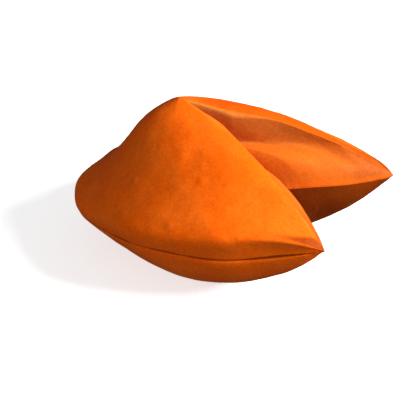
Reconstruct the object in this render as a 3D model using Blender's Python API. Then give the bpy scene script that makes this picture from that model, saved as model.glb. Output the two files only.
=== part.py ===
"""A fortune cookie: one thin round wafer folded in half over its slip of paper and
then bent across the middle of the fold, so that the fold rises to a peak and runs
down both arms to two pointed tips.

The body is built as one closed solid.  Each half (left and right of the middle
plane) is a row of closed sections laid from the tip (station 0) to the middle
plane (station 1).  Every section runs
    ridge -> crown -> waist -> rolled brim -> seam groove -> belly -> inner lower
    edge -> ledge -> gutter -> wall -> ridge
and from FAN_FROM on all sections start at the peak, as the folded wafer does.
Lengths are in millimetres from the peak and become metres at the end; +X points
from the back of the cookie to its tips, +Z is up.
"""
import math

import bmesh
import bpy
import numpy as np

# ------------------------------------------------------------------ overall sizes
TIP_REACH = 37.8        # peak to a tip, forward
TIP_SPREAD = 15.65      # a tip, sideways from the middle plane
TIP_FALL = 14.6         # a tip, below the peak
STAND_FALL = 29.80      # the surface it stands on, below the peak

# ------------------------------------------------------------------ ridge (the fold)
RIDGE_HOLD = 6.65       # fall that the ridge would have if it ran on straight
RIDGE_CURL = 3.08       # how late it curls down to the tip
RIDGE_BOW = -0.049      # inward bow, as a share of the spread
FAN_FROM = 0.52         # station from which every section starts at the peak
TURN_WIDTH = 5.0        # sideways distance over which the inner faces turn forward

# ------------------------------------------------------------------ seam (the mouth)
SEAM_STATION = (0.12, 0.28, 0.46, 0.64, 0.80, 0.91, 1.0)
SEAM_BEARING = (33.0, 52.0, 78.0, 107.0, 137.0, 159.0, 180.0)   # degrees from +X
SEAM_REACH = (33.9, 28.4, 23.7, 20.2, 20.5, 20.1, 18.8)
SEAM_FALL = ((0.15, 17.4), (0.40, 18.7), (0.75, 21.5), (1.0, 20.4))
GROOVE_DEPTH = 0.55     # the line where the two lips of the wafer meet
GROOVE_WIDTH = 0.36
GROOVE_FADE = 9.0       # belly chord below which the groove dies out towards a tip

# ------------------------------------------------------------------ inner lower edge
EDGE_START = 12.4       # forward of the peak, on the middle plane
EDGE_POWER = 2.15       # how late the two edges part towards the tips
EDGE_FALL = (16.6, 14.65)        # at the middle plane, and half way to the tip

# ------------------------------------------------------------------ section profiles
# each row has one entry for each of these stations; each pair: length as a share of
# the chord, and angle below (or above) the horizontal in degrees
COLUMNS = (0.0, 0.026, 0.065, 0.28, 0.45, 0.76, 1.0)    # tip, nib, lobe, arm, side, rear, back
CROWN = ((0.16, 16.0), (0.14, 14.0), (0.12, 10.0), (0.270, 2.0), (0.250, 18.5), (0.335, 28.5), (0.360, 32.0))
BRIM = ((0.42, 90.0), (0.42, 90.0), (0.42, 88.0), (0.24, 70.0), (0.19, 64.0), (0.14, 64.0), (0.11, 66.0))
BELLY = ((0.03, 58.0), (0.07, 62.0), (0.12, 68.0), (0.150, 82.0), (0.245, 101.0), (0.240, 128.0), (0.22, 134.0))
HEEL = ((0.88, 92.0), (0.90, 94.0), (1.00, 98.5), (0.925, 97.5), (0.90, 98.0), (0.705, 100.6), (0.60, 101.5))
# the waist: share of the way out, share of the way down, slope in degrees
WAIST = ((0.80, 0.26, 26.0), (0.80, 0.26, 26.0), (0.780, 0.310, 27.0), (0.720, 0.385, 34.0), (0.690, 0.470, 40.0),
         (0.550, 0.440, 50.0), (0.533, 0.472, 54.0))
RIM_TURN = (0.80, 0.80, 0.80, 0.85, 0.85, 0.80, 0.70)     # how late the flap turns down into the rim

# ------------------------------------------------------------------ inner face
# a steep wall hangs from the ridge to a gutter, and a ledge runs on from there to the
# lower edge.  Rows: station, and share of the way in and of the way down
GUTTER = ((0.0, 0.0, 0.0), (0.10, 0.0, 0.0), (0.15, 0.03, 0.17), (0.195, 0.05, 0.31),
          (0.24, 0.07, 0.40), (0.31, 0.09, 0.50), (0.52, 0.12, 0.56), (1.0, 0.18, 0.54))
LEDGE_START = 10.0      # slope where the ledge leaves the gutter, degrees
TIP_SLOPE = 54.0        # the same near a tip, where there is no gutter
LEDGE_END = 74.0        # and where it meets the lower edge

# the hip that runs down each side from the peak is smoothed over this many stations
HIP_SOFTNESS = 0.17

# ------------------------------------------------------------------ hand-folded unevenness
WARP = 0.14             # how far any point strays from the mirror-true form
WARP_LENGTH = 6.5       # length over which it changes

# ------------------------------------------------------------------ mesh fineness
STATIONS = 41
N_CROWN, N_BRIM, N_BELLY, N_LEDGE, N_WALL = 7, 9, 9, 6, 3

BAKED = (0.80, 0.20, 0.035, 1.0)


def ease(x, knots, values, flat_end=True, steady=False):
    """A smooth curve through a few named values, without overshoot if steady."""
    k, v, x = (np.asarray(a, float) for a in (knots, values, x))
    d = np.diff(v) / np.diff(k)
    m = np.empty_like(v)
    m[1:-1] = (d[:-1] * (k[2:] - k[1:-1]) + d[1:] * (k[1:-1] - k[:-2])) / (k[2:] - k[:-2])
    m[0] = d[0]
    m[-1] = 0.0 if flat_end else d[-1]
    if steady:
        room = 2.0 * np.minimum(np.abs(d[:-1]), np.abs(d[1:])) * (d[:-1] * d[1:] > 0)
        m[1:-1] = np.clip(m[1:-1], -room, room)
    i = np.clip(np.searchsorted(k, x, side="right") - 1, 0, len(k) - 2)
    h = k[i + 1] - k[i]
    s = (x - k[i]) / h
    return ((2 * s**3 - 3 * s**2 + 1) * v[i] + (s**3 - 2 * s**2 + s) * h * m[i]
            + (3 * s**2 - 2 * s**3) * v[i + 1] + (s**3 - s**2) * h * m[i + 1])


def ramp(x, lo, hi):
    s = np.clip((np.asarray(x, float) - lo) / (hi - lo), 0.0, 1.0)
    return s * s * (3 - 2 * s)


def guides(u):
    """The ridge, the seam and the inner lower edge at the stations u."""
    t = np.clip(1.0 - u / FAN_FROM, 0.0, 1.0) ** 1.25
    ridge = np.stack([TIP_REACH * t,
                      TIP_SPREAD * (t + RIDGE_BOW * 4 * t * (1 - t)),
                      -(RIDGE_HOLD * t + (TIP_FALL - RIDGE_HOLD) * t**RIDGE_CURL)], -1)
    at = (0.0,) + SEAM_STATION
    bearing = ease(u, at, [math.atan2(TIP_SPREAD, TIP_REACH)]
                   + [math.radians(b) for b in SEAM_BEARING], False)
    reach = ease(u, at, (math.hypot(TIP_REACH, TIP_SPREAD),) + SEAM_REACH)
    fall = ease(u, [0.0] + [s for s, _ in SEAM_FALL], [TIP_FALL] + [f for _, f in SEAM_FALL])
    seam = np.stack([reach * np.cos(bearing), reach * np.sin(bearing), -fall], -1)
    q = 1.0 - u
    edge = np.stack([EDGE_START + (TIP_REACH - EDGE_START) * q,
                     TIP_SPREAD * q**EDGE_POWER,
                     -ease(q, (0.0, 0.5, 1.0), EDGE_FALL + (TIP_FALL,), False)], -1)
    return ridge, seam, edge


def column(u, rows, i):
    return ease(u, COLUMNS, [row[i] for row in rows], steady=True)


def step(way, out, up):
    """A move of out along the plan direction way, and up."""
    return np.concatenate([way * out[:, None], up[:, None]], 1)


def arc(p0, p1, p2, p3, n):
    """A cubic curve through each section, without its last point."""
    v = np.linspace(0.0, 1.0, n + 1)[:-1][None, :, None]
    p0, p1, p2, p3 = (p[:, None, :] for p in (p0, p1, p2, p3))
    return (1 - v)**3 * p0 + 3 * (1 - v)**2 * v * p1 + 3 * (1 - v) * v * v * p2 + v**3 * p3


def sections():
    """The closed sections of one half, [station, point, xyz]."""
    u = np.linspace(0.0, 1.0, STATIONS)
    ridge, seam, edge = guides(u)
    dz = 1e-4
    run = (guides(np.clip(u + dz, 0, 1))[1] - guides(np.clip(u - dz, 0, 1))[1])[:, :2]
    run /= np.linalg.norm(run, axis=1)[:, None]
    out = np.stack([run[:, 1], -run[:, 0]], -1)         # outward from the seam
    out[-1] = (-1.0, 0.0)
    lean = math.atan2(-TIP_REACH, TIP_SPREAD) * ramp(ridge[:, 1], 0.0, TURN_WIDTH)
    inn = np.stack([np.cos(lean), np.sin(lean)], -1)    # into the notch
    top = np.linalg.norm(seam - ridge, axis=1)
    low = np.linalg.norm(seam - edge, axis=1)

    def handle(rows, chord):
        size = column(u, rows, 0) * chord
        turn = np.radians(column(u, rows, 1))
        return size * np.cos(turn), size * np.sin(turn)

    plan = (seam - ridge)[:, :2]
    far = np.linalg.norm(plan, axis=1)[:, None]
    plan = np.where(far > 1e-6, plan / np.maximum(far, 1e-9), out)
    share = np.stack([column(u, WAIST, 0), column(u, WAIST, 0), column(u, WAIST, 1)], -1)
    waist = ridge + (seam - ridge) * share
    slope = np.radians(column(u, WAIST, 2))
    along = step(plan, np.cos(slope), -np.sin(slope))
    turn = ease(u, COLUMNS, RIM_TURN, steady=True)[:, None]
    above = np.linalg.norm(waist - ridge, axis=1)[:, None]
    below = np.linalg.norm(seam - waist, axis=1)[:, None]

    fade = np.clip(low / GROOVE_FADE, 0.0, 1.0)
    still = np.zeros_like(out)
    lip = np.concatenate([still, (0.5 * GROOVE_WIDTH * fade)[:, None]], 1)
    upper_lip, lower_lip = seam + lip, seam - lip
    root = seam + step(out, -GROOVE_DEPTH * fade, 0.0 * fade)

    a, b = handle(CROWN, top)
    crown = ridge + step(plan, a, -b)
    a, b = handle(BRIM, top)
    brim = upper_lip + step(out, a, b)
    a, b = handle(BELLY, low)
    belly = lower_lip + step(out, a, -b)
    a, b = handle(HEEL, low)
    heel = edge + step(inn, a, -b)

    inward = edge - ridge                               # the inner face
    inward[:, 2] = 0.0
    drop = (ridge - edge)[:, 2]
    at = [g[0] for g in GUTTER]
    ga, gb = (ease(u, at, [g[i] for g in GUTTER], steady=True) for i in (1, 2))
    gutter = ridge + inward * ga[:, None]
    gutter[:, 2] = ridge[:, 2] - gb * drop
    run_on = np.linalg.norm((edge - gutter)[:, :2], axis=1)
    forth = (edge - gutter)[:, :2] / np.maximum(run_on, 1e-6)[:, None]
    a0 = np.radians(LEDGE_START + (TIP_SLOPE - LEDGE_START) * (1.0 - ramp(u, 0.12, 0.24)))
    a1 = math.radians(LEDGE_END)
    sill = edge + step(-forth, 0.42 * run_on * math.cos(a1), 0.42 * run_on * math.sin(a1))
    foot = gutter + step(forth, 0.42 * run_on * np.cos(a0), -0.42 * run_on * np.sin(a0))
    third = (ridge - gutter) / 3
    return np.concatenate([
        arc(ridge, crown, waist - along * 0.33 * above, waist, N_CROWN),
        arc(waist, waist + along * turn * below, brim, upper_lip, N_BRIM),
        upper_lip[:, None, :], root[:, None, :],
        arc(lower_lip, belly, heel, edge, N_BELLY),
        arc(edge, sill, foot, gutter, N_LEDGE),
        arc(gutter, gutter + third, ridge - third, ridge, N_WALL)], 1)


def soften_hip(grid):
    """Smooths the flap from section to section, away from the ridge and the seam, with a
    weight that leaves steady curves as they are."""
    n, count = grid.shape[0], N_CROWN + N_BRIM + 1
    half = (n - 1) // 2
    u = np.minimum(np.arange(n), n - 1 - np.arange(n)) / half
    sigma = HIP_SOFTNESS * half
    reach = int(4 * sigma)
    g = np.exp(-0.5 * (np.arange(-reach, reach + 1) / sigma)**2)
    g /= g.sum()

    def blur(a):
        a = np.concatenate([2 * a[:1] - a[reach:0:-1], a, 2 * a[-1:] - a[-2:-reach - 2:-1]], 0)
        return np.stack([np.stack([np.convolve(a[:, j, i], g, mode="valid") for i in range(3)], -1)
                         for j in range(a.shape[1])], 1)

    flap = grid[:, :count]
    once = blur(flap)
    d = np.concatenate([np.zeros((n, 1)), np.cumsum(np.linalg.norm(np.diff(flap, axis=1), axis=2), 1)], 1)
    s = d / np.maximum(d[:, -1:], 1e-9)
    weight = ramp(u, 0.16, 0.42)[:, None] * ramp(s, 0.0, 0.22) * (1 - ramp(s, 0.78, 1.0))
    grid[:, :count] = flap + (2 * once - blur(once) - flap) * weight[..., None]
    return grid


def warp(p):
    """The slight unevenness of a wafer folded by hand, and the flat it rests on."""
    x, y, z = p
    k = 1.0 / WARP_LENGTH
    return (x + WARP * math.sin(0.9 * k * y + 0.7 * k * z + 0.4),
            y + WARP * math.sin(0.8 * k * x - 0.6 * k * z + 1.3),
            max(z + WARP * math.sin(0.7 * k * x + 1.1 * k * y - 0.5), -STAND_FALL))


def cookie_mesh():
    rows = sections()
    other = rows[:-1] * np.array([1.0, -1.0, 1.0])
    grid = soften_hip(np.concatenate([other, rows[::-1]], 0))       # tip round to tip
    bm = bmesh.new()
    made = {}

    def corner(p):
        key = tuple(round(c, 5) + 0.0 for c in p)
        if key not in made:
            made[key] = bm.verts.new(warp(p))
        return made[key]

    verts = [[corner(p) for p in row] for row in grid.tolist()]
    for last, row in zip(verts, verts[1:]):
        for j in range(len(row)):
            k = (j + 1) % len(row)
            corners = []
            for v in (last[j], row[j], row[k], last[k]):
                if v not in corners:
                    corners.append(v)
            if len(corners) > 2:
                bm.faces.new(corners)
    bmesh.ops.triangulate(bm, faces=bm.faces, quad_method="SHORT_EDGE")
    bmesh.ops.recalc_face_normals(bm, faces=bm.faces)
    xs, ys, zs = zip(*[v.co for v in bm.verts])
    centre = ((min(xs) + max(xs)) / 2, (min(ys) + max(ys)) / 2, -STAND_FALL)
    for v in bm.verts:
        v.co = [(a - c) * 0.001 for a, c in zip(v.co, centre)]
    mesh = bpy.data.meshes.new("cookie")
    bm.to_mesh(mesh)
    bm.free()
    return mesh


def material(name, colour, roughness):
    m = bpy.data.materials.new(name)
    m.use_nodes = True
    s = m.node_tree.nodes["Principled BSDF"]
    s.inputs["Base Color"].default_value = colour
    s.inputs["Roughness"].default_value = roughness
    s.inputs["Metallic"].default_value = 0.0
    m.diffuse_color = colour
    return m


for old in list(bpy.data.objects):
    bpy.data.objects.remove(old, do_unlink=True)

cookie = bpy.data.objects.new("cookie", cookie_mesh())
bpy.context.scene.collection.objects.link(cookie)
cookie.data.materials.append(material("baked_wafer", BAKED, 0.45))
cookie.data.shade_smooth()
cookie.data.set_sharp_from_angle(angle=math.radians(38))
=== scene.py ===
import math

import bmesh
import bpy
import numpy as np
from mathutils import Matrix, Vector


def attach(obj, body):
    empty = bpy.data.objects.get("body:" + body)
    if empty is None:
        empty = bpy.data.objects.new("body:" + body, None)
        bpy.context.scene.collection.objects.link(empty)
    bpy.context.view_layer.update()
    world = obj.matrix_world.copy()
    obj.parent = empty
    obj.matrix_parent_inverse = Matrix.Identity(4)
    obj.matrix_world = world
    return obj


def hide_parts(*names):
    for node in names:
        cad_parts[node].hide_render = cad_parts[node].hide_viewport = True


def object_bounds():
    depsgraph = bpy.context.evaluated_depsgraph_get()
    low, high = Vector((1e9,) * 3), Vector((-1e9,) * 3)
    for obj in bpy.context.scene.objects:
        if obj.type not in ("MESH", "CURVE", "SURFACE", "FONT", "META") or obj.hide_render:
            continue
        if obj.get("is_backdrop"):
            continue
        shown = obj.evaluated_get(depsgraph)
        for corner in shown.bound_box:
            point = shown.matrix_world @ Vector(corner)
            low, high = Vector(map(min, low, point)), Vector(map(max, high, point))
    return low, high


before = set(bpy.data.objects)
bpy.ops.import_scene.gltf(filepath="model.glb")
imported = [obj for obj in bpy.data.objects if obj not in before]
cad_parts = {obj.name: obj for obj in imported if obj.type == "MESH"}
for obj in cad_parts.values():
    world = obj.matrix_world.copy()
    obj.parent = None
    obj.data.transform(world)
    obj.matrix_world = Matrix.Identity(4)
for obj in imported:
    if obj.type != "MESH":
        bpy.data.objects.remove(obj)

CAD_LO, CAD_HI = (np.array(v[:]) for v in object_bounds())
MM = 0.001

# ------------------------------------------------------------------ overall sizes, mm
TIP_REACH = 37.8        # peak to a tip, forward
TIP_SPREAD = 15.65      # a tip, sideways from the middle plane
TIP_FALL = 14.6         # a tip, below the peak
STAND_FALL = 29.80      # the surface it stands on, below the peak

# ------------------------------------------------------------------ ridge (the fold)
RIDGE_HOLD = 6.65
RIDGE_CURL = 3.08
RIDGE_BOW = -0.049
FAN_FROM = 0.52
TURN_WIDTH = 5.0

# ------------------------------------------------------------------ seam (the mouth)
SEAM_STATION = (0.12, 0.28, 0.46, 0.64, 0.80, 0.91, 1.0)
SEAM_BEARING = (33.0, 52.0, 78.0, 107.0, 137.0, 159.0, 180.0)
SEAM_REACH = (33.9, 28.4, 23.7, 20.2, 20.5, 20.1, 18.8)
SEAM_FALL = ((0.15, 17.4), (0.40, 18.7), (0.75, 21.5), (1.0, 20.4))
GROOVE_DEPTH = 0.95
GROOVE_WIDTH = 0.34
GROOVE_FADE = 9.0
LIP_PEEK = 0.40         # how far the lower lip shows past the upper one near a tip

# ------------------------------------------------------------------ inner lower edge
EDGE_START = 12.4
EDGE_POWER = 2.15
EDGE_FALL = (16.6, 14.65)

# ------------------------------------------------------------------ section profiles
COLUMNS = (0.0, 0.026, 0.065, 0.28, 0.45, 0.76, 1.0)    # tip, nib, lobe, arm, side, rear, back
CROWN = ((0.16, 16.0), (0.14, 14.0), (0.12, 10.0), (0.270, 2.0), (0.250, 18.5), (0.335, 28.5), (0.360, 32.0))
BRIM = ((0.42, 90.0), (0.42, 90.0), (0.42, 88.0), (0.24, 70.0), (0.19, 64.0), (0.14, 64.0), (0.11, 66.0))
BELLY = ((0.03, 58.0), (0.07, 62.0), (0.12, 68.0), (0.150, 82.0), (0.245, 101.0), (0.240, 128.0), (0.22, 134.0))
HEEL = ((0.88, 92.0), (0.90, 94.0), (1.00, 98.5), (0.925, 97.5), (0.90, 98.0), (0.705, 100.6), (0.60, 101.5))
WAIST = ((0.80, 0.26, 26.0), (0.80, 0.26, 26.0), (0.780, 0.310, 27.0), (0.720, 0.385, 34.0), (0.690, 0.470, 40.0),
         (0.550, 0.440, 50.0), (0.533, 0.472, 54.0))
RIM_TURN = (0.80, 0.80, 0.80, 0.85, 0.85, 0.80, 0.70)     # how late the flap turns down into the rim

# ------------------------------------------------------------------ inner face
# a steep wall hangs from the ridge to a gutter, and a ledge runs on from there to the
# lower edge.  Rows: station, and share of the way in and of the way down
GUTTER = ((0.0, 0.0, 0.0), (0.10, 0.0, 0.0), (0.15, 0.03, 0.17), (0.195, 0.05, 0.31),
          (0.24, 0.07, 0.40), (0.31, 0.09, 0.50), (0.52, 0.12, 0.56), (1.0, 0.18, 0.54))
LEDGE_START = 10.0      # slope where the ledge leaves the gutter, degrees
TIP_SLOPE = 54.0        # the same near a tip, where there is no gutter
LEDGE_END = 74.0        # and where it meets the lower edge
SHOULDER = 2.3          # width of the rounded shoulder under the ridge beside the peak

# the hip that runs down each side from the peak is smoothed over this many stations
HIP_SOFTNESS = 0.17

# ------------------------------------------------------------------ unevenness
WARP = 0.14
WARP_LENGTH = 6.5
SHUT = 0.012            # from the middle plane to where the two inner faces count as touching

# ------------------------------------------------------------------ fineness
HALF_STATIONS = 171     # sections in each half
DENSE = 90              # points on each curve before it is spaced out evenly
N_TOP, N_LIP, N_BELLY, N_LEDGE, N_WALL, N_SHOULDER = 100, 5, 50, 22, 24, 5
N_ROUND = 5             # points on each rounded corner
# Colour tones painted onto the crust by region. Most are painted shade, the one on the fold near the peak is
# painted light, and the seam's groove is made darker.
TONES = ("inner_face", "inner_wall_shade", "underside_shade", "browned_and_shaded_edge", "far_crown_shade", "fold_painted_light",
         "rim_painted_shade")

# ------------------------------------------------------------------ camera
VIEW_TURN, VIEW_RISE = 27.81, 28.91      # degrees round from -Y, and above the table
VIEW_DISTANCE = 0.26285
FOCAL_PX, SIDE_PX = 1385.78, 420.0       # focal length in a frame 420 wide
AIM_FROM_PEAK = (0.0095, 0.0, -0.0133)   # the point that is aimed at, from the peak
AIM_PX = (225.95, 169.81)                # and where in the frame it lies


def ease(x, knots, values, flat_end=True, steady=False):
    """A smooth curve through a few named values, without overshoot if steady."""
    k, v, x = (np.asarray(a, float) for a in (knots, values, x))
    d = np.diff(v) / np.diff(k)
    m = np.empty_like(v)
    m[1:-1] = (d[:-1] * (k[2:] - k[1:-1]) + d[1:] * (k[1:-1] - k[:-2])) / (k[2:] - k[:-2])
    m[0] = d[0]
    m[-1] = 0.0 if flat_end else d[-1]
    if steady:
        room = 2.0 * np.minimum(np.abs(d[:-1]), np.abs(d[1:])) * (d[:-1] * d[1:] > 0)
        m[1:-1] = np.clip(m[1:-1], -room, room)
    i = np.clip(np.searchsorted(k, x, side="right") - 1, 0, len(k) - 2)
    h = k[i + 1] - k[i]
    s = (x - k[i]) / h
    return ((2 * s**3 - 3 * s**2 + 1) * v[i] + (s**3 - 2 * s**2 + s) * h * m[i]
            + (3 * s**2 - 2 * s**3) * v[i + 1] + (s**3 - s**2) * h * m[i + 1])


def ramp(x, lo, hi):
    s = np.clip((np.asarray(x, float) - lo) / (hi - lo), 0.0, 1.0)
    return s * s * (3 - 2 * s)


def guides(u):
    """The ridge, the seam and the inner lower edge at the stations u."""
    t = np.clip(1.0 - u / FAN_FROM, 0.0, 1.0) ** 1.25
    ridge = np.stack([TIP_REACH * t,
                      TIP_SPREAD * (t + RIDGE_BOW * 4 * t * (1 - t)),
                      -(RIDGE_HOLD * t + (TIP_FALL - RIDGE_HOLD) * t**RIDGE_CURL)], -1)
    at = (0.0,) + SEAM_STATION
    bearing = ease(u, at, [math.atan2(TIP_SPREAD, TIP_REACH)]
                   + [math.radians(b) for b in SEAM_BEARING], False)
    reach = ease(u, at, (math.hypot(TIP_REACH, TIP_SPREAD),) + SEAM_REACH)
    fall = ease(u, [0.0] + [s for s, _ in SEAM_FALL], [TIP_FALL] + [f for _, f in SEAM_FALL])
    seam = np.stack([reach * np.cos(bearing), reach * np.sin(bearing), -fall], -1)
    q = 1.0 - u
    edge = np.stack([EDGE_START + (TIP_REACH - EDGE_START) * q,
                     TIP_SPREAD * q**EDGE_POWER,
                     -ease(q, (0.0, 0.5, 1.0), EDGE_FALL + (TIP_FALL,), False)], -1)
    return ridge, seam, edge


def column(u, rows, i):
    return ease(u, COLUMNS, [row[i] for row in rows], steady=True)


def step(way, out, up):
    """A move of out along the plan direction way, and up."""
    return np.concatenate([way * out[:, None], up[:, None]], 1)


def arc(p0, p1, p2, p3):
    """A cubic curve through each section."""
    v = np.linspace(0.0, 1.0, DENSE)[None, :, None]
    p0, p1, p2, p3 = (p[:, None, :] for p in (p0, p1, p2, p3))
    return (1 - v)**3 * p0 + 3 * (1 - v)**2 * v * p1 + 3 * (1 - v) * v * v * p2 + v**3 * p3


def curves(u):
    """The curves that make up each section, and the rounding where each one starts."""
    ridge, seam, edge = guides(u)
    dz = 1e-4
    run = (guides(np.clip(u + dz, 0, 1))[1] - guides(np.clip(u - dz, 0, 1))[1])[:, :2]
    run /= np.linalg.norm(run, axis=1)[:, None]
    out = np.stack([run[:, 1], -run[:, 0]], -1)
    out[-1] = (-1.0, 0.0)
    w = np.clip(ridge[:, 1] / TURN_WIDTH, 0.0, 1.0)
    lean = math.atan2(-TIP_REACH, TIP_SPREAD) * w * w * (3 - 2 * w)
    inn = np.stack([np.cos(lean), np.sin(lean)], -1)
    top = np.linalg.norm(seam - ridge, axis=1)
    low = np.linalg.norm(seam - edge, axis=1)

    def handle(rows, chord):
        size = column(u, rows, 0) * chord
        turn = np.radians(column(u, rows, 1))
        return size * np.cos(turn), size * np.sin(turn)

    plan = (seam - ridge)[:, :2]
    far = np.linalg.norm(plan, axis=1)[:, None]
    plan = np.where(far > 1e-6, plan / np.maximum(far, 1e-9), out)
    share = np.stack([column(u, WAIST, 0), column(u, WAIST, 0), column(u, WAIST, 1)], -1)
    waist = ridge + (seam - ridge) * share
    slope = np.radians(column(u, WAIST, 2))
    along = step(plan, np.cos(slope), -np.sin(slope))
    turn = ease(u, COLUMNS, RIM_TURN, steady=True)[:, None]
    above = np.linalg.norm(waist - ridge, axis=1)[:, None]
    below = np.linalg.norm(seam - waist, axis=1)[:, None]

    fade = np.clip(low / GROOVE_FADE, 0.0, 1.0)
    peek = LIP_PEEK * fade * (1.0 - ramp(u, 0.07, 0.20)) * ramp(u, 0.01, 0.05)
    still = np.zeros(len(u))
    gap = 0.5 * GROOVE_WIDTH * fade * (0.8 + 0.35 * np.sin(37.0 * u) * np.sin(15.0 * u + 1.0))
    upper_lip = seam + step(out, still, gap)
    lower_lip = seam + step(out, peek, -gap)
    root = seam + step(out, -GROOVE_DEPTH * fade, still)

    a, b = handle(CROWN, top)
    crown = ridge + step(plan, a, -b)
    a, b = handle(BRIM, top)
    brim = upper_lip + step(out, a, b)
    a, b = handle(BELLY, low)
    belly = lower_lip + step(out, a, -b)
    a, b = handle(HEEL, low)
    heel = edge + step(inn, a, -b)
    outer = np.concatenate([
        arc(ridge, crown, waist - along * 0.33 * above, waist),
        arc(waist, waist + along * turn * below, brim, upper_lip)[:, 1:]], 1)

    # the inner face, from the lower edge up to the ridge
    inward = edge - ridge
    inward[:, 2] = 0.0
    reach = np.linalg.norm(inward, axis=1)
    drop = (ridge - edge)[:, 2]
    at = [g[0] for g in GUTTER]
    ga, gb = (ease(u, at, [g[i] for g in GUTTER], steady=True) for i in (1, 2))
    gutter = ridge + inward * ga[:, None]
    gutter[:, 2] = ridge[:, 2] - gb * drop
    run_on = np.linalg.norm((edge - gutter)[:, :2], axis=1)
    forth = (edge - gutter)[:, :2] / np.maximum(run_on, 1e-6)[:, None]
    a0 = np.radians(LEDGE_START + (TIP_SLOPE - LEDGE_START) * (1.0 - ramp(u, 0.12, 0.24)))
    a1 = math.radians(LEDGE_END)
    reins = 0.42 * run_on
    ledge = arc(edge, edge + step(-forth, reins * math.cos(a1), reins * math.sin(a1)),
                gutter + step(forth, reins * np.cos(a0), -reins * np.sin(a0)), gutter)
    near = np.linalg.norm(ridge, axis=1)
    wide = SHOULDER * (1.0 - 0.95 * ramp(near, 6.0, 20.0)) * ramp(gb, 0.0, 0.3)
    wide = np.minimum(wide, 0.30 * gb * drop + 1e-4)
    shoulder = ridge + step(inn, wide, -0.45 * wide)
    wall = arc(gutter, gutter + (shoulder - gutter) * 0.33, gutter + (shoulder - gutter) * 0.67, shoulder)
    brow = arc(shoulder, shoulder + (ridge - shoulder) * 0.33, shoulder + (ridge - shoulder) * 0.67, ridge)

    fold = 0.55 * ramp(near, 0.3, 4.0) + still
    return [
        (outer, N_TOP, fold),
        (arc(upper_lip, upper_lip, root, root), N_LIP, 0.42 * fade),
        (arc(root, root, lower_lip, lower_lip), N_LIP, 0.10 * fade),
        (arc(lower_lip, belly, heel, edge), N_BELLY, 0.38 * fade),
        (ledge, N_LEDGE, 0.28 + still),
        (wall, N_WALL, 1.0 + still),
        (brow, N_SHOULDER, 0.9 * wide),
    ]


def spaced(line, n, start, end):
    """n points at even distances along a dense line, between start and end from its ends."""
    d = np.linalg.norm(np.diff(line, axis=0), axis=1)
    s = np.concatenate([[0.0], np.cumsum(d)])
    if s[-1] < 1e-9:
        return np.repeat(line[:1], n, 0)
    at = np.linspace(start, s[-1] - end, n)
    return np.stack([np.interp(at, s, line[:, i]) for i in range(3)], -1)


def half_rows():
    """The closed sections of one half, with their corners rounded: [station, point, xyz],
    and for each point the curve it belongs to plus how far along that curve it lies."""
    u = np.linspace(0.0, 1.0, HALF_STATIONS)
    parts = curves(u)
    mark = []
    for k, (_, n, _) in enumerate(parts):
        mark.extend([k] * N_ROUND)
        mark.extend(k + np.linspace(0.0, 0.999, n))
    size = [np.linalg.norm(np.diff(c, axis=1), axis=2).sum(1) for c, _, _ in parts]
    rows = []
    for i in range(len(u)):
        runs, count = [], len(parts)
        for k, (line, n, _) in enumerate(parts):
            r0 = min(parts[k][2][i], 0.42 * size[k][i], 0.42 * size[k - 1][i])
            nxt = (k + 1) % count
            r1 = min(parts[nxt][2][i], 0.42 * size[nxt][i], 0.42 * size[k][i])
            runs.append(spaced(line[i], n, r0, r1))
        row = []
        for k in range(count):
            a, b, c = runs[k - 1][-1], parts[k][0][i][0], runs[k][0]
            for v in np.linspace(0.0, 1.0, N_ROUND + 2)[1:-1]:
                row.append((1 - v)**2 * a + 2 * (1 - v) * v * b + v * v * c)
            row.extend(runs[k])
        rows.append(row)
    return np.array(rows), np.array(mark)


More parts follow.
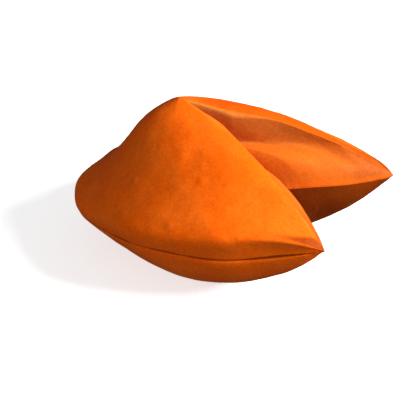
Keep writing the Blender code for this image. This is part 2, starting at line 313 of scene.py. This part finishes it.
def tones(mark):
    """How far each point counts as one of the TONES, from 0 to 1."""
    u = np.linspace(0.0, 1.0, HALF_STATIONS)[:, None]
    # the inner face: its own browner, less orange colour, and painted shade, as it is darker than the outer crust
    # all through the notch
    inner = (ramp(mark, 3.9, 4.1) * (1 - ramp(mark, 6.0, 6.9)))[None, :] + 0.0 * u
    # painted shade: the steep inner wall under the ridge, deep in the notch, is darker and browner
    wall = (ramp(mark, 4.80, 5.10) * (1 - ramp(mark, 5.9, 6.3)))[None, :] * ramp(u, 0.10, 0.22)
    # painted shade: the belly is darkened where it turns under towards the inner lower edge
    under_shade = (ramp(mark, 3.35, 3.80) * (mark < 4.0))[None, :] + 0.0 * u
    # painted shade on the inner face towards each tip and along the lower edge of the ledge, and the seam's groove
    # made darker
    low = (1 - ramp(mark, 4.10, 4.62)) * (mark >= 4.0)
    groove = ((mark >= 1.0) & (mark < 3.0))[None, :] * 0.6
    brown_and_shade = inner * np.maximum(low[None, :] * (0.85 - 0.65 * ramp(u, 0.12, 0.36)), 0.8 * (1 - ramp(u, 0.04, 0.30)))
    # painted shade: the crest of the far half is darkened, away from the peak; the near half gets none
    crown = (1 - ramp(mark, 0.10, 0.42))[None, :] * (1 - ramp(u, 0.40, 0.50))
    crown = np.maximum(crown, (mark > 6.6)[None, :] * (1 - ramp(u, 0.40, 0.50)))
    brown_and_shade = np.maximum(brown_and_shade, groove)
    # painted light: the wall near the peak, deep in the fold, is lighter and paler
    fold_light = wall * ramp(u, 0.30, 0.46)
    # painted shade: the flap is darkened towards its rim near a tip, from this share of the way across it
    start = ease(u, (0.0, 0.02, 0.03, 0.05, 0.08, 0.12, 0.16, 0.22),
                 (0.0, 0.06, 0.20, 0.42, 0.56, 0.64, 0.68, 0.72), steady=True)
    s = np.clip((mark[None, :] - start + 0.05) / 0.14, 0.0, 1.0)
    rim = s * s * (3 - 2 * s) * (1 - ramp(mark, 0.58, 0.73))[None, :] * (1 - ramp(u, 0.13, 0.21))
    # painted shade: near each tip the crest is darkened, used on the far half only
    nib = ((mark < 0.5) | (mark > 6.6))[None, :] * (1 - ramp(u, 0.07, 0.18))
    pairs = [(inner, inner), (wall, wall), (under_shade, under_shade), (brown_and_shade, np.maximum(brown_and_shade, nib)), (0.0 * crown, crown),
             (fold_light, fold_light), (rim, rim)]
    return [np.concatenate([near[:-1], far[::-1]], 0) for near, far in pairs]


def warp(p, flat=True):
    """The slight unevenness of a wafer folded by hand, and the flat it rests on."""
    x, y, z = p[..., 0], p[..., 1], p[..., 2]
    k = 1.0 / WARP_LENGTH
    q = np.stack([x + WARP * np.sin(0.9 * k * y + 0.7 * k * z + 0.4),
                  y + WARP * np.sin(0.8 * k * x - 0.6 * k * z + 1.3),
                  z + WARP * np.sin(0.7 * k * x + 1.1 * k * y - 0.5)], -1)
    if flat:
        q[..., 2] = np.maximum(q[..., 2], -STAND_FALL)
    return q


# ------------------------------------------------------------------ patterns in space
def lattice(ix, iy, iz, seed):
    """A repeatable number from 0 to 1 for each lattice point."""
    h = (ix.astype(np.int64) * 374761393 + iy.astype(np.int64) * 668265263
         + iz.astype(np.int64) * 2147483647 + seed * 974634777) & 0xFFFFFFFF
    h = ((h ^ (h >> 13)) * 1274126177) & 0xFFFFFFFF
    h = ((h ^ (h >> 16)) * 2246822519) & 0xFFFFFFFF
    return ((h ^ (h >> 15)) & 0xFFFFFF) / float(0xFFFFFF)


def soft_noise(p, length, seed):
    """Smooth noise from -1 to 1 that changes over about that length."""
    q = p / length + 1000.0
    i = np.floor(q).astype(np.int64)
    f = q - i
    f = f * f * f * (f * (f * 6 - 15) + 10)
    total = 0.0
    for dx in (0, 1):
        for dy in (0, 1):
            for dz in (0, 1):
                w = (np.where(dx, f[:, 0], 1 - f[:, 0]) * np.where(dy, f[:, 1], 1 - f[:, 1])
                     * np.where(dz, f[:, 2], 1 - f[:, 2]))
                total = total + w * lattice(i[:, 0] + dx, i[:, 1] + dy, i[:, 2] + dz, seed)
    return total * 2.0 - 1.0


def dots(p, spots, radii, heights):
    """Sums small round bumps (or pits) at the spots."""
    got = np.zeros(len(p))
    for spot, radius, height in zip(spots, radii, heights):
        near = np.nonzero(np.abs(p - spot).max(1) < radius)[0]
        if len(near):
            d = np.linalg.norm(p[near] - spot, axis=1) / radius
            near, d = near[d < 1], d[d < 1]
            got[near] += height * (1 - d * d)**2
    return got


# ------------------------------------------------------------------ the wafer's mesh
def soften_hip(grid):
    """Smooths the flap from section to section, away from the ridge and the seam, with a
    weight that leaves steady curves as they are."""
    n = grid.shape[0]
    half = (n - 1) // 2
    u = np.minimum(np.arange(n), n - 1 - np.arange(n)) / half
    top = slice(N_ROUND, N_ROUND + N_TOP)
    s = np.linspace(0.0, 1.0, N_TOP)
    sigma = HIP_SOFTNESS * half
    reach = int(4 * sigma)
    x = np.arange(-reach, reach + 1)
    g = np.exp(-0.5 * (x / sigma)**2)
    g /= g.sum()
    flap = grid[:, top]
    pad = np.concatenate([2 * flap[:1] - flap[reach:0:-1], flap, 2 * flap[-1:] - flap[-2:-reach - 2:-1]], 0)

    def blur(a):
        return np.stack([np.stack([np.convolve(a[:, j, i], g, mode="valid") for i in range(3)], -1)
                         for j in range(a.shape[1])], 1)

    once = blur(pad)
    pad2 = np.concatenate([2 * once[:1] - once[reach:0:-1], once, 2 * once[-1:] - once[-2:-reach - 2:-1]], 0)
    calm = 2 * once - blur(pad2)
    weight = (ramp(u, 0.16, 0.42)[:, None] * (ramp(s, 0.0, 0.22) * (1 - ramp(s, 0.78, 1.0)))[None, :])[..., None]
    grid[:, top] = flap + (calm - flap) * weight
    return grid


def build_wafer():
    rows, mark = half_rows()
    tone = np.stack(tones(mark), -1)
    other = rows[:-1] * np.array([1.0, -1.0, 1.0])
    grid = np.concatenate([other, rows[::-1]], 0)          # from one tip round to the other
    grid = soften_hip(grid)
    n, m = grid.shape[:2]
    # where the two inner faces all but touch, they are one: the notch ends there
    shut = (np.abs(grid[..., 1]) < SHUT) & ((mark >= 3.5) | (mark < 0.005))
    grid[..., 1][shut] = 0.0
    grid = warp(grid)
    cap = 0.03                                             # the peak is a little blunt
    depth = -(grid[..., 2] - warp(np.zeros((1, 3)))[0, 2])
    grid[..., 2] -= np.where((depth >= 0) & (depth < 2 * cap), cap + depth**2 / (4 * cap) - depth, 0.0)
    bm = bmesh.new()
    for name in TONES:
        bm.verts.layers.float.new(name)
    layers = [bm.verts.layers.float[name] for name in TONES]
    verts = [[bm.verts.new(p) for p in row] for row in grid.tolist()]
    for row, values in zip(verts, tone.tolist()):
        for v, value in zip(row, values):
            for layer, part in zip(layers, value):
                v[layer] = part
    for i in range(n - 1):
        for j in range(m):
            k = (j + 1) % m
            if shut[i, j] and shut[i + 1, j] and shut[i, k] and shut[i + 1, k]:
                continue
            bm.faces.new((verts[i][j], verts[i + 1][j], verts[i + 1][k], verts[i][k]))
    tips = [bm.faces.new(row) for row in (verts[0], verts[-1])]
    bmesh.ops.delete(bm, geom=tips, context="FACES_ONLY")
    bmesh.ops.remove_doubles(bm, verts=bm.verts, dist=0.0004)
    bmesh.ops.dissolve_degenerate(bm, edges=bm.edges, dist=0.0001)
    bmesh.ops.delete(bm, geom=[v for v in bm.verts if not v.link_faces], context="VERTS")
    bmesh.ops.recalc_face_normals(bm, faces=bm.faces)
    mesh = bpy.data.meshes.new("wafer")
    bm.to_mesh(mesh)
    bm.free()
    return mesh


def settle(mesh):
    """Waves, blisters and pores."""
    count = len(mesh.vertices)
    p = np.empty(count * 3)
    mesh.vertices.foreach_get("co", p)
    p = p.reshape(-1, 3)
    normal = np.empty(count * 3)
    mesh.vertices.foreach_get("normal", normal)
    normal = normal.reshape(-1, 3)

    wave = 0.10 * soft_noise(p, 5.2, 1) + 0.045 * soft_noise(p, 2.3, 2) + 0.016 * soft_noise(p, 0.9, 3)
    rng = np.random.default_rng(11)
    pick = rng.choice(count, 260, replace=False)
    blister = dots(p, p[pick[:70]], rng.uniform(0.7, 1.7, 70), rng.uniform(0.03, 0.10, 70))
    pore = dots(p, p[pick[70:]], rng.uniform(0.28, 0.55, 190), -rng.uniform(0.03, 0.09, 190))
    near = np.linalg.norm(p, axis=1)
    calm = ramp(p[:, 2] + STAND_FALL, 0.0, 1.0) * ramp(near, 0.0, 3.0)
    # the two inner faces stay apart where they come close to the middle plane
    inner = np.empty(count)
    mesh.attributes["inner_face"].data.foreach_get("value", inner)
    k = 1.0 / WARP_LENGTH
    off = np.abs(p[:, 1] - WARP * np.sin(0.8 * k * p[:, 0] - 0.6 * k * p[:, 2] + 1.3))
    calm *= 1.0 - inner * (1.0 - ramp(off, 0.05, 1.2))
    p = p + normal * ((wave + (blister + pore) * ramp(near, 2.5, 8.0)) * calm)[:, None]
    return p


def place(mesh, p):
    """Moves the points into the frame, inside the CAD box."""
    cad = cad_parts["cookie"]
    q = np.empty(len(cad.data.vertices) * 3)
    cad.data.vertices.foreach_get("co", q)
    q = q.reshape(-1, 3)
    peak = q[q[:, 2].argmax()]
    own = warp(np.zeros((1, 3)))[0]
    p = (p - own) * MM + peak
    room = 0.00004
    lo, hi = CAD_LO + room, CAD_HI - room
    for axis in (0, 1):
        a, b = p[:, axis].min(), p[:, axis].max()
        c, d = max(a, lo[axis]), min(b, hi[axis])
        p[:, axis] = c + (p[:, axis] - a) * (d - c) / (b - a)
    p[:, 2] = np.clip(p[:, 2], lo[2], None)
    over = p[:, 2].max() - hi[2]
    if over > 0:
        high = ramp(p[:, 2], hi[2] - 0.004, hi[2])
        p[:, 2] -= over * high
    mesh.vertices.foreach_set("co", p.ravel())
    mesh.update()
    return peak


mesh = build_wafer()
points = settle(mesh)
peak = place(mesh, points)
wafer = bpy.data.objects.new("baked_cookie", mesh)
bpy.context.scene.collection.objects.link(wafer)
mesh.shade_smooth()
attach(wafer, "root")
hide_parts("cookie")


# ------------------------------------------------------------------ materials
class Tree:
    """Short ways to add and join a material's nodes."""

    def __init__(self, material):
        material.use_nodes = True
        self.tree = material.node_tree
        self.shader = self.tree.nodes["Principled BSDF"]

    def add(self, kind, inputs=(), **settings):
        node = self.tree.nodes.new(kind)
        for name, value in settings.items():
            setattr(node, name, value)
        for name, value in dict(inputs).items():
            if isinstance(value, bpy.types.NodeSocket):
                self.tree.links.new(value, node.inputs[name])
            else:
                node.inputs[name].default_value = value
        return node

    def noise(self, at, scale, detail=2.0, rough=0.5, distortion=0.0):
        return self.add("ShaderNodeTexNoise", {"Vector": at, "Scale": scale, "Detail": detail,
                                               "Roughness": rough, "Distortion": distortion}).outputs["Fac"]

    def span(self, value, lo, hi, to_lo=0.0, to_hi=1.0):
        return self.add("ShaderNodeMapRange", {"Value": value, "From Min": lo, "From Max": hi,
                                               "To Min": to_lo, "To Max": to_hi},
                        interpolation_type="SMOOTHSTEP").outputs["Result"]

    def blend(self, fac, a, b, mode="MIX"):
        node = self.add("ShaderNodeMix", data_type="RGBA", blend_type=mode)
        for socket, value in ((node.inputs[0], fac), (node.inputs[6], a), (node.inputs[7], b)):
            if isinstance(value, bpy.types.NodeSocket):
                self.tree.links.new(value, socket)
            else:
                socket.default_value = value
        return node.outputs[2]

    def maths(self, op, a, b=0.0):
        node = self.add("ShaderNodeMath", operation=op)
        for socket, value in zip(node.inputs, (a, b)):
            if isinstance(value, bpy.types.NodeSocket):
                self.tree.links.new(value, socket)
            else:
                socket.default_value = value
        return node.outputs[0]


def wafer_material():
    m = bpy.data.materials.new("baked_wafer_crust")
    t = Tree(m)
    here = t.add("ShaderNodeTexCoord").outputs["Object"]
    at = t.add("ShaderNodeVectorMath", {0: here, 1: (1000.0, 1000.0, 1000.0)}, operation="MULTIPLY").outputs[0]

    broad = t.noise(at, 0.16, 2.0, 0.5, 0.4)
    mid = t.noise(at, 0.55, 3.0, 0.55, 0.3)
    grain = t.noise(at, 2.2, 3.0, 0.6)
    fine = t.noise(at, 6.0, 2.0, 0.6)

    # golden to deep orange crust in broad clouds, then the tones of each region: mostly painted shade, with
    # painted light on the fold near the peak
    deep = (0.87, 0.123, 0.0012, 1.0)
    gold = (0.91, 0.147, 0.0044, 1.0)
    colour = t.blend(t.span(broad, 0.34, 0.68), deep, gold)
    tone = {name: t.add("ShaderNodeAttribute", attribute_name=name).outputs["Fac"] for name in TONES}
    # the inner face: a browner, less orange colour, and painted shade in the notch
    for name, amount, tint in (("inner_face", 0.85, (0.60, 0.128, 0.0100)),
                               # painted shade on the inner wall in the notch
                               ("inner_wall_shade", 0.85, (0.46, 0.132, 0.0200)),
                               # painted shade under the belly
                               ("underside_shade", 0.92, (0.145, 0.0215, 0.0002)),
                               # painted shade towards the tips and lower edge of the inner face, and a darker seam
                               # groove
                               ("browned_and_shaded_edge", 0.88, (0.29, 0.056, 0.0040)),
                               # painted shade on the far half's crest
                               ("far_crown_shade", 0.80, (0.67, 0.074, 0.0002)),
                               # painted shade on the flap towards its rim near the tips
                               ("rim_painted_shade", 0.90, (0.27, 0.041, 0.0006)),
                               # painted light on the fold near the peak
                               ("fold_painted_light", 0.90, (0.64, 0.225, 0.0500))):
        colour = t.blend(t.maths("MULTIPLY", tone[name], amount), colour, (*tint, 1.0))
    # the crust's mottling, over all of them
    colour = t.blend(t.span(mid, 0.42, 0.75, 0.0, 0.20), colour, (0.80, 0.74, 0.70, 1.0), "MULTIPLY")
    colour = t.blend(t.span(grain, 0.36, 0.62, 0.0, 0.42), colour, (0.72, 0.62, 0.55, 1.0), "MULTIPLY")
    colour = t.blend(t.span(fine, 0.36, 0.62, 0.30, 0.0), colour, (0.84, 0.60, 0.45, 1.0), "MULTIPLY")
    t.tree.links.new(colour, t.shader.inputs["Base Color"])

    rough = t.span(mid, 0.3, 0.7, 0.58, 0.70)
    t.tree.links.new(rough, t.shader.inputs["Roughness"])
    t.shader.inputs["Specular IOR Level"].default_value = 0.06

    height = t.maths("ADD", t.maths("MULTIPLY", grain, 0.55), t.maths("MULTIPLY", fine, 0.25))
    bump = t.add("ShaderNodeBump", {"Height": height, "Strength": 0.35, "Distance": 0.00010})
    t.tree.links.new(bump.outputs["Normal"], t.shader.inputs["Normal"])
    return m


mesh.materials.append(wafer_material())


# ------------------------------------------------------------------ floor, lights, camera
def floor():
    bm = bmesh.new()
    bmesh.ops.create_grid(bm, x_segments=1, y_segments=1, size=1.5)
    plane = bpy.data.meshes.new("floor")
    bm.to_mesh(plane)
    bm.free()
    o = bpy.data.objects.new("floor", plane)
    bpy.context.scene.collection.objects.link(o)
    m = bpy.data.materials.new("pale_floor")
    m.use_nodes = True
    s = m.node_tree.nodes["Principled BSDF"]
    s.inputs["Base Color"].default_value = (0.80, 0.80, 0.80, 1.0)
    s.inputs["Roughness"].default_value = 0.9
    s.inputs["Specular IOR Level"].default_value = 0.0
    plane.materials.append(m)
    s.inputs["Emission Color"].default_value = (1.0, 1.0, 1.0, 1.0)
    s.inputs["Emission Strength"].default_value = 0.62
    o.visible_diffuse = False
    o.visible_glossy = False
    o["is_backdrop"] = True
    return o


def lamp(name, bearing, rise, distance, size, power, colour=(1.0, 1.0, 1.0)):
    """A soft square light, bearing degrees round from +X and rise above the table."""
    light = bpy.data.lights.new(name, "AREA")
    light.shape = "DISK"
    light.size = size
    light.energy = power
    light.color = colour
    o = bpy.data.objects.new(name, light)
    bpy.context.scene.collection.objects.link(o)
    a, e = math.radians(bearing), math.radians(rise)
    way = np.array([math.cos(a) * math.cos(e), math.sin(a) * math.cos(e), math.sin(e)])
    aim = (CAD_LO + CAD_HI) / 2
    z = way
    x = np.cross((0.0, 0.0, 1.0), z)
    x /= np.linalg.norm(x)
    y = np.cross(z, x)
    place_at = np.eye(4)
    place_at[:3, 0], place_at[:3, 1], place_at[:3, 2], place_at[:3, 3] = x, y, z, aim + way * distance
    o.matrix_world = Matrix(place_at.tolist())
    return o


def camera(peak):
    """The camera at the viewing angle, aimed so that the cookie sits in the frame as it should."""
    turn, rise = math.radians(VIEW_TURN), math.radians(VIEW_RISE)
    ahead = np.array([-math.sin(turn), math.cos(turn), 0.0])
    up = np.array([0.0, 0.0, 1.0])
    back = -ahead * math.cos(rise) + up * math.sin(rise)
    yaw = math.atan2(AIM_PX[0] - SIDE_PX / 2, FOCAL_PX)
    pitch = -math.atan2(AIM_PX[1] - SIDE_PX / 2, FOCAL_PX)
    c, s = math.cos(yaw), math.sin(yaw)
    look = np.array([[c, -s, 0], [s, c, 0], [0, 0, 1.0]]) @ -back
    dip = math.asin(-look[2]) + pitch
    level = np.array([look[0], look[1], 0.0])
    level /= np.linalg.norm(level)
    look = level * math.cos(dip) - up * math.sin(dip)
    right = np.cross(look, up)
    right /= np.linalg.norm(right)
    aim = peak + np.array(AIM_FROM_PEAK)
    data = bpy.data.cameras.new("camera")
    data.sensor_width = 36.0
    data.lens = FOCAL_PX / SIDE_PX * 36.0
    data.clip_start, data.clip_end = 0.001, 10.0
    o = bpy.data.objects.new("camera", data)
    bpy.context.scene.collection.objects.link(o)
    pose = np.eye(4)
    pose[:3, 0], pose[:3, 1], pose[:3, 2] = right, np.cross(right, look), -look
    pose[:3, 3] = aim + back * VIEW_DISTANCE
    o.matrix_world = Matrix(pose.tolist())
    bpy.context.scene.camera = o


floor()
lamp("key_light", 15.0, 30.0, 0.60, 0.30, 10.3)
lamp("fill_light", -75.0, 25.0, 0.60, 0.40, 1.0).visible_glossy = False
world = bpy.data.worlds.new("studio")
bpy.context.scene.world = world
world.use_nodes = True
world.node_tree.nodes["Background"].inputs["Color"].default_value = (1.0, 1.0, 1.0, 1.0)
world.node_tree.nodes["Background"].inputs["Strength"].default_value = 0.22
world.cycles_visibility.glossy = False
bpy.context.scene.view_settings.view_transform = "Standard"
camera(peak)
